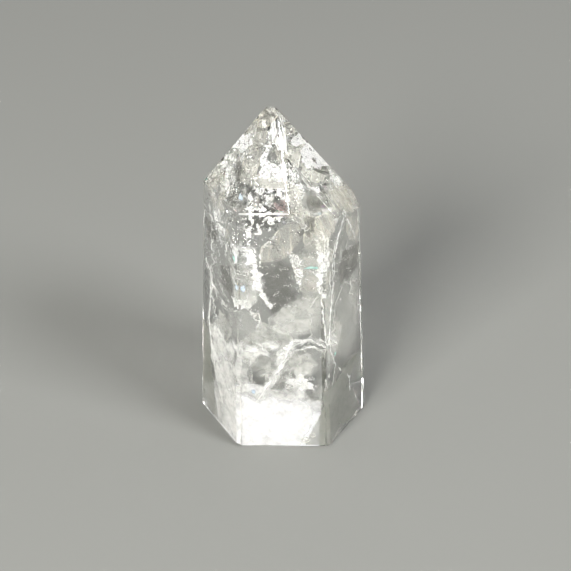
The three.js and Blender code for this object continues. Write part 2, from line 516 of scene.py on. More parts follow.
@dataclass(frozen=True)
class Sheet(Inclusion):
    """A ragged curved patch, made as a closed shell a hair thick.

    The outline's corners are millimetres across and up on the face. The crisp side, in degrees
    from the right, ends in a bright rim; the other sides fade out over a share of the way from
    the middle to the edge. A ringed sheet is crisp all round. The hollow is the share of that
    way that stays clear.
    """

    outline: tuple
    bulge: float = 0.0
    folds: float = 0.3
    fold_length: float = 5.0
    ripples: float = 0.0
    ripple_length: float = 1.0
    ragged: float = 0.12
    thickness: float = 0.06
    fade: float = 0.5
    crisp: float | None = None
    ringed: bool = False
    hollow: float = 0.0
    rim: float = 0.3
    rings: int = 26
    spokes: int = 96
    seed: int = 1
    # The power by which the rings crowd, and as shares of the way: the narrowest fade, and the
    # border of the hollow.
    crowding: ClassVar[float] = 1.6
    least_fade: ClassVar[float] = 0.03
    hollow_border: ClassVar[float] = 0.25

    def centre(self) -> np.ndarray:
        """Return the mean of the outline's corners."""
        return np.mean(self.outline, axis=0)

    def spoke_lengths(self, angle: np.ndarray) -> np.ndarray:
        """Measure from the middle to the outline along each angle.

        Between two corners the length is r1 r2 sin(a2 - a1) / (r1 sin(a - a1) + r2 sin(a2 - a)),
        which is a straight side in polar form. A coarse and a fine noise are added, read off a
        small and a large circle so that they close after a full turn.

        Args:
            angle: directions in radians, from 0 up to a full turn.

        Returns:
            The lengths in millimetres.
        """
        corner = np.array(self.outline) - self.centre()
        turn = np.arctan2(corner[:, 1], corner[:, 0]) % math.tau
        order = np.argsort(turn)
        turn, radius = turn[order], np.hypot(corner[:, 0], corner[:, 1])[order]
        after = np.searchsorted(turn, angle, side="right")
        a1 = np.where(after == 0, turn[-1] - math.tau, turn[after - 1])
        a2 = np.where(after == len(turn), turn[0] + math.tau, turn[after % len(turn)])
        r1, r2 = radius[after - 1], radius[after % len(turn)]
        side = r1 * r2 * np.sin(a2 - a1) / (r1 * np.sin(angle - a1) + r2 * np.sin(a2 - angle))
        coarse = smooth_noise(np.cos(angle) * 3, np.sin(angle) * 3, 3.0, self.seed + 9)
        fine = smooth_noise(np.cos(angle) * 12, np.sin(angle) * 12, 3.0, self.seed + 19)
        return side * (1 + self.ragged * (coarse + 0.4 * fine))

    def relief(self, x: np.ndarray, y: np.ndarray) -> np.ndarray:
        """How far the sheet stands out of its plane.

        A bowl (the square of the distance from the middle), soft folds with creases a third as
        long, and the rings of a shell-like break around a point below its lower edge, whose
        spacing grows outwards.

        Args:
            x: place across, in millimetres.
            y: place up, in millimetres.

        Returns:
            The height of each place, in millimetres.
        """
        width, height = np.ptp(self.outline, axis=0)
        bowl = self.bulge * ((2 * x / width) ** 2 + (2 * y / height) ** 2)
        folds = self.folds * smooth_noise(x, y, self.fold_length, self.seed)
        creases = 0.3 * self.folds * smooth_noise(x, y, self.fold_length / 3, self.seed + 50)
        spread = np.hypot(x - 0.2 * width, y + 0.65 * height)
        rings = self.ripples * np.sin(math.tau * (spread / self.ripple_length) ** 0.85)
        return bowl + folds + creases + rings

    def shell(self, walls: CrystalWalls, plane: Plane | None = None) -> dict:
        """Work out the closed shell on a grid of rings and spokes.

        The rings crowd towards the outline, which is cut back to the walls. The two skins are
        the relief plus and minus a thickness that falls to nothing at the rim.

        Args:
            walls: the stone's faces.
            plane: where it lies, if not where its face shows it.

        Returns:
            The vertices in metres, the faces, and the fade, rim and place of each vertex.
        """
        plane = plane or walls.behind(self.face, *self.centre(), self.depth, self.turn, self.tip)
        gap = FLUSH_GAP if self.turn is None else SHEET_GAP
        angle = np.linspace(0, math.tau, self.spokes, endpoint=False)
        radius = 1 - (1 - np.linspace(0, 1, self.rings + 1)[1:]) ** self.crowding
        length = self.spoke_lengths(angle)
        edge_x, edge_y = length * np.cos(angle), length * np.sin(angle)
        rays = plane.place(edge_x, edge_y) - plane.middle
        ray_length = np.linalg.norm(rays, axis=1)
        middles = np.tile(plane.middle, (self.spokes, 1))
        free = walls.reach(middles, rays / ray_length[:, None], gap)
        cut = np.minimum(1.0, free / ray_length)
        x = np.concatenate([[0.0], np.outer(radius, edge_x * cut).ravel()])
        y = np.concatenate([[0.0], np.outer(radius, edge_y * cut).ravel()])
        share = np.concatenate([[0.0], np.repeat(radius, self.spokes)])
        true_share = np.concatenate([[0.0], np.outer(radius, cut).ravel()])
        around = np.concatenate([[0.0], np.tile(angle, self.rings)])
        reach = np.concatenate([[length.mean()], np.tile(length, self.rings)])
        lift = self.relief(x, y) - self.relief(np.zeros(1), np.zeros(1))
        middle = walls.press(plane.place(x, y) + lift[:, None] * plane.outward, gap)
        half = 0.5 * self.thickness * np.sqrt(1 - share ** 2)
        outer = middle + half[:, None] * plane.outward
        inner = (middle - half[:, None] * plane.outward)[:-self.spokes]
        fade, rim = self.edge(true_share, around, (1 - true_share) * reach)
        outer_id = np.arange(len(outer))
        inner_id = np.concatenate([len(outer) + np.arange(len(inner)), outer_id[-self.spokes:]])
        doubled = np.concatenate([outer_id, outer_id[:-self.spokes]])
        return {"vertices": np.concatenate([outer, inner]) * MM,
                "faces": self.skin(outer_id, False) + self.skin(inner_id, True),
                "fade": fade[doubled], "rim": rim[doubled], "sheet": np.c_[x, y][doubled]}

    def edge(self, share: np.ndarray, around: np.ndarray, inset: np.ndarray) -> tuple:
        """Work out how the white fades and where the bright rim runs.

        Args:
            share: how far out each vertex is, from 0 in the middle to 1 on the outline.
            around: its direction in radians.
            inset: its distance from the outline in millimetres.

        Returns:
            The fade, from 0 at a soft edge to 1 well inside, and the rim, 1 along a crisp edge.
        """
        softness = np.full_like(share, 0.0 if self.ringed else 1.0)
        if self.crisp is not None:
            softness = 0.5 - 0.5 * np.cos(around - math.radians(self.crisp))
        fade = soft_step((1 - share) / (self.least_fade + (self.fade - self.least_fade) * softness))
        fade *= soft_step((share - self.hollow) / self.hollow_border + 1) if self.hollow else 1
        rim = np.exp(-((inset - 0.5 * self.rim) / self.rim) ** 2) * (1 - softness) ** 2
        return fade, rim

    def skin(self, ids: np.ndarray, inward: bool) -> list:
        """List the faces of one skin: a fan round the middle, then bands out to the rim.

        Args:
            ids: the vertex of the middle, then of each ring in turn.
            inward: whether the skin faces away from the facing direction.

        Returns:
            Triangles and quads, wound so that they point out of the shell.
        """
        rings = ids[1:].reshape(-1, self.spokes)
        after = np.roll(rings, -1, axis=1)
        fan = np.stack([np.full(self.spokes, ids[0]), rings[0], after[0]], axis=1)
        bands = ring_bands(rings, after)
        if inward:
            fan, bands = fan[:, ::-1], bands[:, ::-1]
        return fan.tolist() + bands.tolist()


@dataclass(frozen=True)
class Vein(Inclusion):
    """A narrow ragged band, such as the edge of a fracture: a flat tube carried along a path.

    The path's corners are millimetres across and up on the face.
    """

    path: tuple
    width: float = 0.5
    wander: float = 0.15
    ragged: float = 0.45
    thickness: float = 0.06
    step: float = 0.12
    around: int = 12
    seed: int = 1
    # The share of the path over which an end tapers, the least share of its width that stays,
    # and how much of the white goes at its sides.
    taper: ClassVar[float] = 0.12
    least_swell: ClassVar[float] = 0.15
    side_fade: ClassVar[float] = 0.75

    def jog(self, walked: np.ndarray, lengths: tuple, seeds: tuple) -> np.ndarray:
        """Work out noise along the path, of a long wave and half as much of a short one.

        Args:
            walked: how far along the path each step is, in millimetres.
            lengths: the two wave lengths, in millimetres.
            seeds: what is added to the vein's own seed for each.

        Returns:
            The noise at each step.
        """
        long, short = (smooth_noise(walked, walked * 0, length, self.seed + seed)
                       for length, seed in zip(lengths, seeds))
        return long + 0.5 * short

    def shell(self, walls: CrystalWalls) -> dict:
        """Work out the closed tube.

        The path is walked in even steps and jogged by noise. Each ring of the tube is its middle
        plus half the width times the cosine of the angle to the side, and half the thickness
        times its sine outwards. The width swells and shrinks by noise and ends in points.

        Args:
            walls: the stone's faces.

        Returns:
            The vertices in metres, the faces, and the fade, rim and place of each vertex.
        """
        corners = np.array(self.path, dtype=float)
        plane = walls.behind(self.face, *corners.mean(axis=0), self.depth, self.turn, self.tip)
        corners -= corners.mean(axis=0)
        gone = np.concatenate([[0], np.cumsum(np.hypot(*np.diff(corners, axis=0).T))])
        walked = np.linspace(0, gone[-1], max(16, int(gone[-1] / self.step)))
        x = np.interp(walked, gone, corners[:, 0]) + self.wander * self.jog(walked, (3.0, 0.8), (0, 3))
        y = np.interp(walked, gone, corners[:, 1]) + self.wander * self.jog(walked, (3.0, 0.8), (1, 4))
        along = np.gradient(np.c_[x, y], axis=0)
        along /= np.linalg.norm(along, axis=1)[:, None]
        swell = 1 + self.ragged * self.jog(walked, (2.0, 0.5), (5, 6))
        end = np.minimum(walked, gone[-1] - walked) / (self.taper * gone[-1])
        half = 0.5 * self.width * np.maximum(swell, self.least_swell) * np.sqrt(np.clip(end, 0.0, 1.0))
        angle = np.linspace(0, math.tau, self.around, endpoint=False)
        side, rise = np.cos(angle), np.sin(angle)
        px = (x[1:-1, None] - along[1:-1, 1:2] * half[1:-1, None] * side).ravel()
        py = (y[1:-1, None] + along[1:-1, 0:1] * half[1:-1, None] * side).ravel()
        px, py = np.concatenate([px, x[[0, -1]]]), np.concatenate([py, y[[0, -1]]])
        count, ends = len(x) - 2, [0.0, 0.0]
        lift = np.concatenate([np.tile(0.5 * self.thickness * rise, count), ends])
        points = walls.press(plane.place(px, py), SMALL_GAP) + lift[:, None] * plane.outward
        rings = np.arange(len(px) - 2).reshape(-1, self.around)
        after = np.roll(rings, -1, axis=1)
        first = np.stack([np.full(self.around, len(px) - 2), rings[0], after[0]], axis=1)
        last = np.stack([np.full(self.around, len(px) - 1), after[-1], rings[-1]], axis=1)
        fade = np.concatenate([np.tile(1 - self.side_fade * side ** 2, count), ends])
        ring = np.concatenate([np.repeat(np.arange(1, len(x) - 1), self.around), [0, len(x) - 1]])
        offset = np.concatenate([np.outer(half[1:-1], side).ravel(), ends])
        rim = np.repeat(soft_step(end[1:-1]), self.around) * np.tile(1 - side ** 2, count)
        return {"vertices": points * MM,
                "faces": ring_bands(rings, after).tolist() + first.tolist() + last.tolist(),
                "fade": fade, "rim": 0.5 * np.concatenate([rim, ends]),
                "sheet": np.c_[walked[ring], offset]}


@dataclass(frozen=True)
class Spray(Inclusion):
    """Tiny flat flakes scattered over a patch: squashed octahedra, half as long again as wide.

    Half their length is between least and most, in millimetres, and small ones are commoner.
    """

    outline: tuple
    count: int
    least: float = 0.04
    most: float = 0.16
    spread: float = 0.6
    scatter: float = 0.7
    seed: int = 1
    # Clump size in millimetres and how much it is blurred, and the flakes' length over their
    # width and thickness over their length.
    clump_mm: ClassVar[float] = 2.2
    clump_blur: ClassVar[float] = 0.4
    slimness: ClassVar[float] = 1.5
    flatness: ClassVar[float] = 0.12

    def shell(self, walls: CrystalWalls) -> dict:
        """Work out all the flakes.

        Each middle is a random angle and the root of a random share of the way to the outline,
        plus a random offset in depth. Four times as many are tried, and those where a noise of
        clumps is highest are kept. Each flake has its own three axes: a random direction near
        the plane's, and two at right angles to it.

        Args:
            walls: the stone's faces.

        Returns:
            The vertices in metres and the faces of all flakes.
        """
        draw = np.random.default_rng(self.seed)
        patch = Sheet(self.name, self.finish, self.face, self.depth, self.turn, self.tip, self.outline,
                      seed=self.seed)
        plane = walls.behind(self.face, *patch.centre(), self.depth, self.turn, self.tip)
        angle = draw.uniform(0, math.tau, 4 * self.count)
        length = patch.spoke_lengths(angle) * np.sqrt(draw.uniform(0, 1, len(angle)))
        x, y = length * np.cos(angle), length * np.sin(angle)
        clump = smooth_noise(x, y, self.clump_mm, self.seed + 2) + draw.normal(0, self.clump_blur, len(x))
        kept = np.argsort(-clump)[:self.count]
        x, y = x[kept], y[kept]
        lift = patch.relief(x, y) + draw.normal(0, self.spread, len(x))
        middle = walls.press(plane.place(x, y) + lift[:, None] * plane.outward, SMALL_GAP)
        outward = plane.outward + draw.normal(0, self.scatter, (len(x), 3))
        outward /= np.linalg.norm(outward, axis=1)[:, None]
        long_way = np.cross(outward, draw.normal(0, 1, (len(x), 3)))
        long_way /= np.linalg.norm(long_way, axis=1)[:, None]
        short_way = np.cross(outward, long_way)
        size = self.least * (self.most / self.least) ** draw.uniform(0, 1, len(x)) ** 1.5
        axes = np.stack([long_way * size[:, None], short_way * (size / self.slimness)[:, None],
                         outward * (size * self.flatness)[:, None]], axis=1)
        tips = np.array([(1, 0, 0), (-1, 0, 0), (0, 1, 0), (0, -1, 0), (0, 0, 1), (0, 0, -1)], dtype=float)
        sides = np.array([(0, 2, 4), (2, 1, 4), (1, 3, 4), (3, 0, 4),
                          (2, 0, 5), (1, 2, 5), (3, 1, 5), (0, 3, 5)])
        points = middle[:, None, :] + np.einsum("kj,njc->nkc", tips, axes)
        faces = np.arange(len(x))[:, None, None] * 6 + sides
        turned = np.linalg.det(axes / size[:, None, None]) < 0
        faces[turned] = faces[turned][:, :, ::-1]
        return {"vertices": points.reshape(-1, 3) * MM, "faces": faces.reshape(-1, 3).tolist()}


def join_shells(shells: list) -> dict:
    """Join several shells into one, keeping their attributes.

    Args:
        shells: what the shell methods return.

    Returns:
        One shell of the same form.
    """
    starts = np.cumsum([0] + [len(s["vertices"]) for s in shells])
    faces = [[int(start) + i for i in face] for start, s in zip(starts, shells) for face in s["faces"]]
    whole = {key: np.concatenate([s[key] for s in shells]) for key in shells[0] if key != "faces"}
    return {**whole, "faces": faces}


def make_piece(name: str, shell: dict, material: bpy.types.Material, smooth: bool = True) -> None:
    """Put a shape into a mesh and let it ride with the stone.

    Args:
        name: the piece's name.
        shell: vertices in metres, faces, and, where it has them, the fade and rim of each vertex
            and its place on the sheet in millimetres, which is kept as a UV map.
        material: its material.
        smooth: whether its shading is smooth.
    """
    mesh = bpy.data.meshes.new(name)
    mesh.from_pydata(shell["vertices"].tolist(), [], shell["faces"])
    mesh.materials.append(material)
    mesh.polygons.foreach_set("use_smooth", np.full(len(mesh.polygons), smooth))
    for key in ("fade", "rim"):
        if key in shell:
            values = shell[key].astype(np.float32)
            mesh.attributes.new(key, "FLOAT", "POINT").data.foreach_set("value", values)
    if "sheet" in shell:
        loops = np.empty(len(mesh.loops), dtype=np.int64)
        mesh.loops.foreach_get("vertex_index", loops)
        places = shell["sheet"][loops].astype(np.float32).ravel()
        mesh.uv_layers.new(name="sheet").data.foreach_set("uv", places)
    piece = add_object(name, mesh)
    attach(piece, BODY)
    LOG.info("%s: %d faces", name, len(mesh.polygons))


@dataclass(frozen=True)
class PolishedStone:
    """The outside of the stone: its polished faces and foot, and its edges.

    Faces that meet at less than flat_degrees are joined, and edges sharper than sharp_degrees
    are rounded. Strips narrower than strip_mm are edges and are shaded round.
    """

    edge_radius_mm: float = 0.1
    edge_steps: int = 3
    weld_mm: float = 0.002
    flat_degrees: float = 0.3
    sharp_degrees: float = 4.0
    strip_mm: float = 0.35

    def is_front_crease(self, normal: Vector) -> bool:
        """Tell whether a strip looks ahead and a little up, as the strip with the painted highlight over the
        front face does.
        """
        return normal.y < -0.8 and 0.1 < normal.z < 0.6 and abs(normal.x) < 0.08

    def build(self) -> None:
        """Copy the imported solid, join its faces, round its edges and dress it."""
        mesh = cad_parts[NODE].data.copy()
        mesh.name = "quartz_stone"
        shape = bmesh.new()
        shape.from_mesh(mesh)
        bmesh.ops.remove_doubles(shape, verts=shape.verts, dist=self.weld_mm * MM)
        bmesh.ops.dissolve_limit(shape, angle_limit=math.radians(self.flat_degrees), verts=shape.verts,
                                 edges=shape.edges)
        sharp = [e for e in shape.edges
                 if len(e.link_faces) == 2 and e.calc_face_angle(0) > math.radians(self.sharp_degrees)]
        bmesh.ops.bevel(shape, geom=sharp, offset=self.edge_radius_mm * MM, segments=self.edge_steps,
                        affect="EDGES", profile=0.5, clamp_overlap=True)
        mesh.materials.clear()
        mesh.materials.append(PolishedQuartz().material())
        mesh.materials.append(PaintedEdgeHighlight().material())
        for face in shape.faces:
            # The area of a long strip over its perimeter is half its width.
            face.smooth = face.calc_area() / face.calc_perimeter() < 0.5 * self.strip_mm * MM
            # The front crease alone gets the matt, part white material of the painted highlight.
            face.material_index = int(face.smooth and self.is_front_crease(face.normal))
        shape.to_mesh(mesh)
        shape.free()
        stone = add_object("quartz_stone", mesh)
        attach(stone, BODY)
        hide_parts(NODE)
        LOG.info("quartz_stone: %d faces", len(mesh.polygons))


@dataclass(frozen=True)
class Veils:
    """The milky sheets, feathered panes and veins, and the sheets of painted shade and painted glints,
    each with the name of its finish.

    Comments say what each finish gives the eye.
    """

    walls: CrystalWalls

    finishes: ClassVar[tuple] = (
        # A breath of white that only dims what lies behind it.
        MilkyVeil("haze", "#F6F6F0", 0.12, 6, 0.1, 0.6, erode=0.5, mottle=0.2),
        # Milk painted grey: a milky veil whose grey is painted shade near the walls and the foot.
        MilkyVeil("milk_painted_grey_for_shade", "#B2B3AA", 0.5, 6, 0.05, 0.45, erode=0.5, rim=0.2, mottle=0.1),
        # Thin even milk with a soft border.
        MilkyVeil("smooth", "#FAFAF4", 0.34, 5, 0.1, 0.6, erode=0.5, rim=0.45, mottle=0.15),
        # Thick milk, cloudy and uneven.
        MilkyVeil("milk", "#FDFDFA", 0.72, 3.5, 0.2, 0.6, erode=0.4, rim=0.8, mottle=0.2),
        # The solid white of the root, where the crystal grew from the rock.
        MilkyVeil("root", "#FFFFFF", 0.97, 3, 0.05, 0.68, erode=0.5, rim=0.2, mottle=0.05),
        # Torn wisps, longer than high.
        MilkyVeil("wisp", "#FCFCF8", 0.72, 1.6, 0.42, 0.66, stretch=(0.5, 1, 1)),
        # Scattered snow-white flecks with clear quartz between.
        MilkyVeil("blotch", "#FFFFFD", 1, 1.6, 0.46, 0.5, erode=0.22, rough_grain=0.72, mottle=0.85),
        # White islands with ragged shores.
        MilkyVeil("islands_white", "#FFFFFD", 1, 1.5, 0.49, 0.52, erode=0.15, rough_grain=0.62,
                  mottle=0.6),
        # Nearly closed white, like packed snow.
        MilkyVeil("dense", "#FFFFFD", 1, 1.3, 0.38, 0.45, rough_grain=0.72, mottle=0.4),
        # Chalky white, pitted with fine clear specks.
        MilkyVeil("chalk", "#FFFFFD", 1, 2.4, 0.36, 0.43, rough_grain=0.72, mottle=0.88),
        # Crushed white at the tip, grainy as sugar.
        MilkyVeil("crushed", "#FFFFFF", 1, 0.9, 0.42, 0.48, erode=0.25, rough_grain=0.72, mottle=0.55),
        # Cream film with fine lines across, like a feather.
        MilkyVeil("feather", "#F1EEE2", 0.5, 1.1, 0.28, 0.72, stretch=(1, 0.15, 1), rim=1, mottle=0.45),
        # White strands along a break.
        MilkyVeil("streak", "#FEFEFB", 0.85, 0.5, 0.36, 0.56, stretch=(0.12, 1, 1), erode=0.25),
        # A thin white thread, hardly broken.
        MilkyVeil("line", "#FFFFFD", 0.95, 0.8, 0.22, 0.42, erode=0.25, mottle=0.3),
        # A beige pane with a sharp border, dull against the white.
        MilkyVeil("pane", "#E6E3D6", 0.38, 1.8, 0.2, 0.8, erode=0.2, rim=0.8, mottle=0.5),
        # A pale clear pane that shows mostly by its bright border.
        MilkyVeil("glaze", "#F4F3EA", 0.34, 3, 0.1, 0.55, rim=1, mottle=0.2),
        # Upright white needles.
        MilkyVeil("needle", "#FFFFFD", 1, 0.8, 0.45, 0.5, stretch=(1, 0.16, 1), erode=0.1, mottle=0.85),
        # A painted blue glint: a pale blue sheet that stands in for a thin film's reflection.
        MilkyVeil("painted_blue_glint", "#DDEEFF", 0.75, 1, 0.2, 0.55, erode=0.5, rim=0, mottle=0.2),
        # Painted shade: a dark sheet that darkens a clear place.
        MilkyVeil("painted_shade", "#4A473A", 0.3, 5, 0.05, 0.45, erode=0.5, rim=0, mottle=0.2),
        # Deeper painted shade, behind the white islands.
        MilkyVeil("painted_deep_shade", "#45423A", 0.42, 5, 0.05, 0.45, erode=0.5, rim=0, mottle=0.2),
        # A painted teal glint: a teal sheet that stands in for a thin film's coloured reflection.
        MilkyVeil("painted_teal_glint", "#B4E6DE", 0.8, 1, 0.2, 0.5, erode=0.4, rim=0.4, mottle=0.2),
        # A brownish pink stain of iron.
        MilkyVeil("iron_stain", "#A5918E", 0.5, 1.2, 0.35, 0.55, mottle=0.4),
    )

    # The lower half, seen through the front face.
    lower: ClassVar[tuple] = (
        Sheet("cloud", "smooth", FRONT, 8, -14, 10, ((-3.2, 33.6), (0, 36.4), (2.9, 38.8), (6, 39.8),
            (9.4, 40.2), (9.4, 28.8), (5.5, 28.2), (1.5, 27), (-3.4, 29.2)), bulge=0.5, ragged=0.06,
            crisp=120, fade=0.7, seed=3),
        Sheet("left_cloud", "haze", FRONT, 7, 12, -8, ((-9.4, 35.6), (-5, 34.6), (-3.6, 31), (-4.2, 27.2),
            (-9.2, 25.6)), folds=0.4, crisp=40, fade=0.7, seed=4),
        Sheet("band_left", "milk", FRONT, 7.4, 8, 6, ((-9.4, 27.6), (-4.3, 28.6), (-1, 26.8), (0.4, 22),
            (-4.2, 23.4), (-9.4, 22.8)), folds=0.5, ragged=0.25, fade=0.9, seed=10),
        Sheet("band_crest", "milk", FRONT, 6.6, 8, 6, oval(-2.4, 27, 7.4, 3.8, -4), fade=0.8, seed=87),
        Vein("arch", "streak", FRONT, 7.2, 5, 0, ((-0.4, 24.6), (2.7, 27.3), (6, 28.5), (9.4, 26.2)),
            width=1.7, wander=0.2, seed=14),
        Vein("arch_crest", "dense", FRONT, 6.8, 5, 0, ((0.3, 26), (2, 27.8), (4.2, 28.7)), width=1.4,
            wander=0.25, seed=95),
        Vein("arch_inner", "streak", FRONT, 7, 5, 0, ((0.6, 23), (3.2, 25.8), (6.4, 26.8), (9.2, 24.4)),
            seed=15),
        Sheet("node", "milk", FRONT, 7, -6, 10, ((-2, 27.2), (1.4, 27), (1, 22.4), (-1.8, 20.2)), folds=0.4,
            fade=0.6, seed=16),
        Sheet("hollow_left", "wisp", FRONT, 6.4, -8, 6, oval(-3.6, 19.6, 6.4, 9, -20), folds=0.4, fade=0.9,
            seed=12),
        Sheet("hollow_right", "smooth", FRONT, 6, -8, 6, oval(4.6, 22.4, 8.4, 7.6, 20), bulge=0.5, folds=0.4,
            crisp=200, fade=0.8, seed=13),
        Sheet("low_haze", "smooth", FRONT, 9.6, 4, 0, oval(0.4, 19, 20, 15), folds=0.6, fade=0.9, seed=2),
        Sheet("bowl", "haze", FRONT, 7.5, 10, 15, ((0.6, 25.6), (4, 26.8), (8.8, 25.6), (9, 20.4),
            (5.4, 18.8), (1.4, 20.6)), bulge=1.2, folds=0.25, crisp=80, rim=0.25, seed=5),
        Sheet("rough_drift", "wisp", FRONT, 7.4, -10, 0, oval(3, 17, 7.6, 8.6, 30), folds=0.5, fade=0.8,
            seed=6),
        Sheet("rough", "dense", FRONT, 4, -12, -4, ((-0.2, 15.8), (2.8, 20.8), (5.8, 19), (6.2, 15.4),
            (3.4, 13.4)), fold_length=2, ragged=0.25, fade=0.4, seed=7),
        Sheet("milk_left", "milk", FRONT, 9, -10, -12, ((-12, 25), (-6.4, 23.6), (-6, 18.4), (-1.6, 16),
            (-2, 7), (-12, 7)), folds=0.6, ragged=0.2, fade=0.75, seed=8),
        Sheet("milk_middle", "milk", FRONT, 8.4, 10, -14, ((-2.4, 16.8), (3.6, 14.6), (4.2, 7.4),
            (-2.6, 7.4)), folds=0.5, seed=17),
        Sheet("milk_right", "smooth", FRONT, 8, 18, -8, ((3.4, 16.4), (9, 20.4), (9.2, 8), (3.2, 7.4)),
            folds=0.5, seed=9),
        Vein("slant", "streak", FRONT, 1.3, -10, 0, ((2.2, 26.6), (-1.6, 19), (-5.6, 11.2)), width=1.8,
            seed=11),
        Sheet("slant_band", "milk", FRONT, 2.2, -10, 0, ((0.4, 26.4), (2.6, 25.4), (-0.6, 17.8), (-3.4, 12.6),
            (-5, 13.4), (-2.4, 20)), folds=0.2, ragged=0.1, fade=0.7, seed=88),
        Sheet("root_front", "root", FRONT, 0.8, None, 0, ((-15, -3), (1.4, -3), (6.4, 4.6), (9, 11),
            (4, 15.4), (-4, 16), (-15, 18)), folds=0.05, ragged=0.05, fade=0.8, crisp=-70, rim=0.05, seed=20),
        # Milk painted grey: painted shade on the foot's right corner.
        Sheet("root_corner", "milk_painted_grey_for_shade", FRONT, 1, None, 0, ((3.2, -2), (14, -3), (14, 11), (8.6, 11.6),
            (6.2, 5)), folds=0.05, ragged=0.04, fade=0.2, rim=0.1, seed=62),
        Sheet("bubble_a", "glaze", FRONT, 0.7, None, 0, oval(4.9, 1.7, 2, 1.7), folds=0, ringed=True, rim=0.2,
            ragged=0.08, seed=63),
        Sheet("bubble_b", "glaze", FRONT, 0.7, None, 0, oval(6.4, 3, 1.4, 1.2), folds=0, ringed=True,
            rim=0.18, ragged=0.08, seed=64),
        Sheet("root_drift", "milk", FRONT, 1.6, None, 0, ((-15, 9), (6, 9), (8.8, 12), (8, 17), (-2, 17),
            (-15, 20)), folds=0.2, fade=0.8, seed=19),
    )

    # Round the clear window, seen through the front face.
    middle: ClassVar[tuple] = (
        Vein("ridge", "dense", FRONT, 4.5, -12, 0, ((-8.6, 52.4), (-6.1, 47.7), (-5, 43.3), (-4.2, 40.3)),
            width=2.6, wander=0.3, seed=21),
        Vein("ridge_tail", "dense", FRONT, 4.4, -12, 0, ((-5, 43.6), (-4.3, 40.3), (-3.4, 38), (-2.2, 36)),
            width=1.3, wander=0.25, seed=20),
        Sheet("ridge_field", "smooth", FRONT, 5.2, -8, 5, ((-9.3, 51), (-6.6, 47.6), (-5.2, 43), (-4.6, 40),
            (-4.6, 36.2), (-9.3, 34.6)), folds=0.5, seed=22),
        Sheet("ridge_foot", "dense", FRONT, 4.6, 10, 10, ((-9.4, 39), (-6, 38.8), (-5.4, 36.2), (-9.2, 35.2)),
            folds=0.4, seed=23),
        Sheet("window_wisp", "blotch", FRONT, 5.6, -18, 5, ((0.4, 50.8), (4, 52), (4.6, 47.4), (4, 40.6),
            (2.8, 40.2), (2, 45.6)), fade=0.4, ragged=0.25, seed=24),
        Sheet("window_stain", "iron_stain", FRONT, 5, -8, 4, ((4.4, 44), (7.2, 44.2), (7, 40.4), (4.8, 40.2)),
            seed=23),
        # Painted blue glints, beside the ridge and low in the milk.
        Sheet("blue_field", "painted_blue_glint", FRONT, 2.6, -8, 0, oval(-8, 41.2, 1.8, 2.6), folds=0.1, fade=0.7,
            seed=65),
        Sheet("blue_low", "painted_blue_glint", FRONT, 0.8, None, 0, oval(-6.1, 14.8, 1.6, 2), folds=0.05, fade=0.7,
            seed=66),
        # Painted shade in the clear window and in a gap above it.
        Sheet("window_dusk", "painted_shade", FRONT, 9, 0, 0, ((-6.8, 50.6), (2.4, 50.6), (4.4, 44.4), (5.4, 39.4),
            (1, 33.8), (-2.8, 30), (-6, 37), (-7.4, 42.8)), folds=0.2, fade=0.8, ragged=0.1, seed=80),
        Sheet("gap_dusk", "painted_shade", FRONT, 3.4, 0, 0, ((3, 58), (6.2, 57.4), (5.6, 53.8), (3.4, 54.2)),
            folds=0.1, ragged=0.2, fade=0.3, seed=84),
        # A painted teal glint along a thin line.
        Vein("cyan_line", "painted_teal_glint", FRONT, 2.4, -8, 0, ((4.2, 46.1), (5.6, 46.4), (7.2, 46.2)),
            wander=0.05, seed=69),
        Vein("right_strip", "dense", FRONT, 2.2, -20, 0, ((6.6, 53.4), (8.2, 47.6), (7.2, 43), (8.6, 38)),
            width=1.6, wander=0.3, seed=25),
        Sheet("fan", "feather", FRONT, 6, -15, 30, ((-4.1, 47.3), (-4.6, 50.1), (-2.9, 53), (-0.3, 55.8),
            (1.7, 57.7), (4, 56.8), (4.1, 53), (1.9, 49.6), (-0.5, 47.5)), bulge=0.6, folds=0.2, ragged=0.04,
            crisp=160, fade=0.2, seed=26),
        Vein("fan_rim", "dense", FRONT, 5.6, -15, 0, ((-1.4, 54.6), (-4.4, 50), (-4.8, 46.4)), width=0.6,
            seed=27),
        Sheet("window_glaze", "glaze", FRONT, 6.2, -8, 4, ((1.6, 50.2), (8.4, 50.6), (8.6, 38.8), (4.6, 38.6),
            (2.6, 44)), crisp=180, seed=29),
        Sheet("right_field", "pane", FRONT, 4.2, -12, 6, ((4, 56.8), (8.4, 54.2), (8.8, 49.6), (4.4, 50.4)),
            folds=0.15, ragged=0.06, fade=0.15, crisp=140, seed=28),
    )

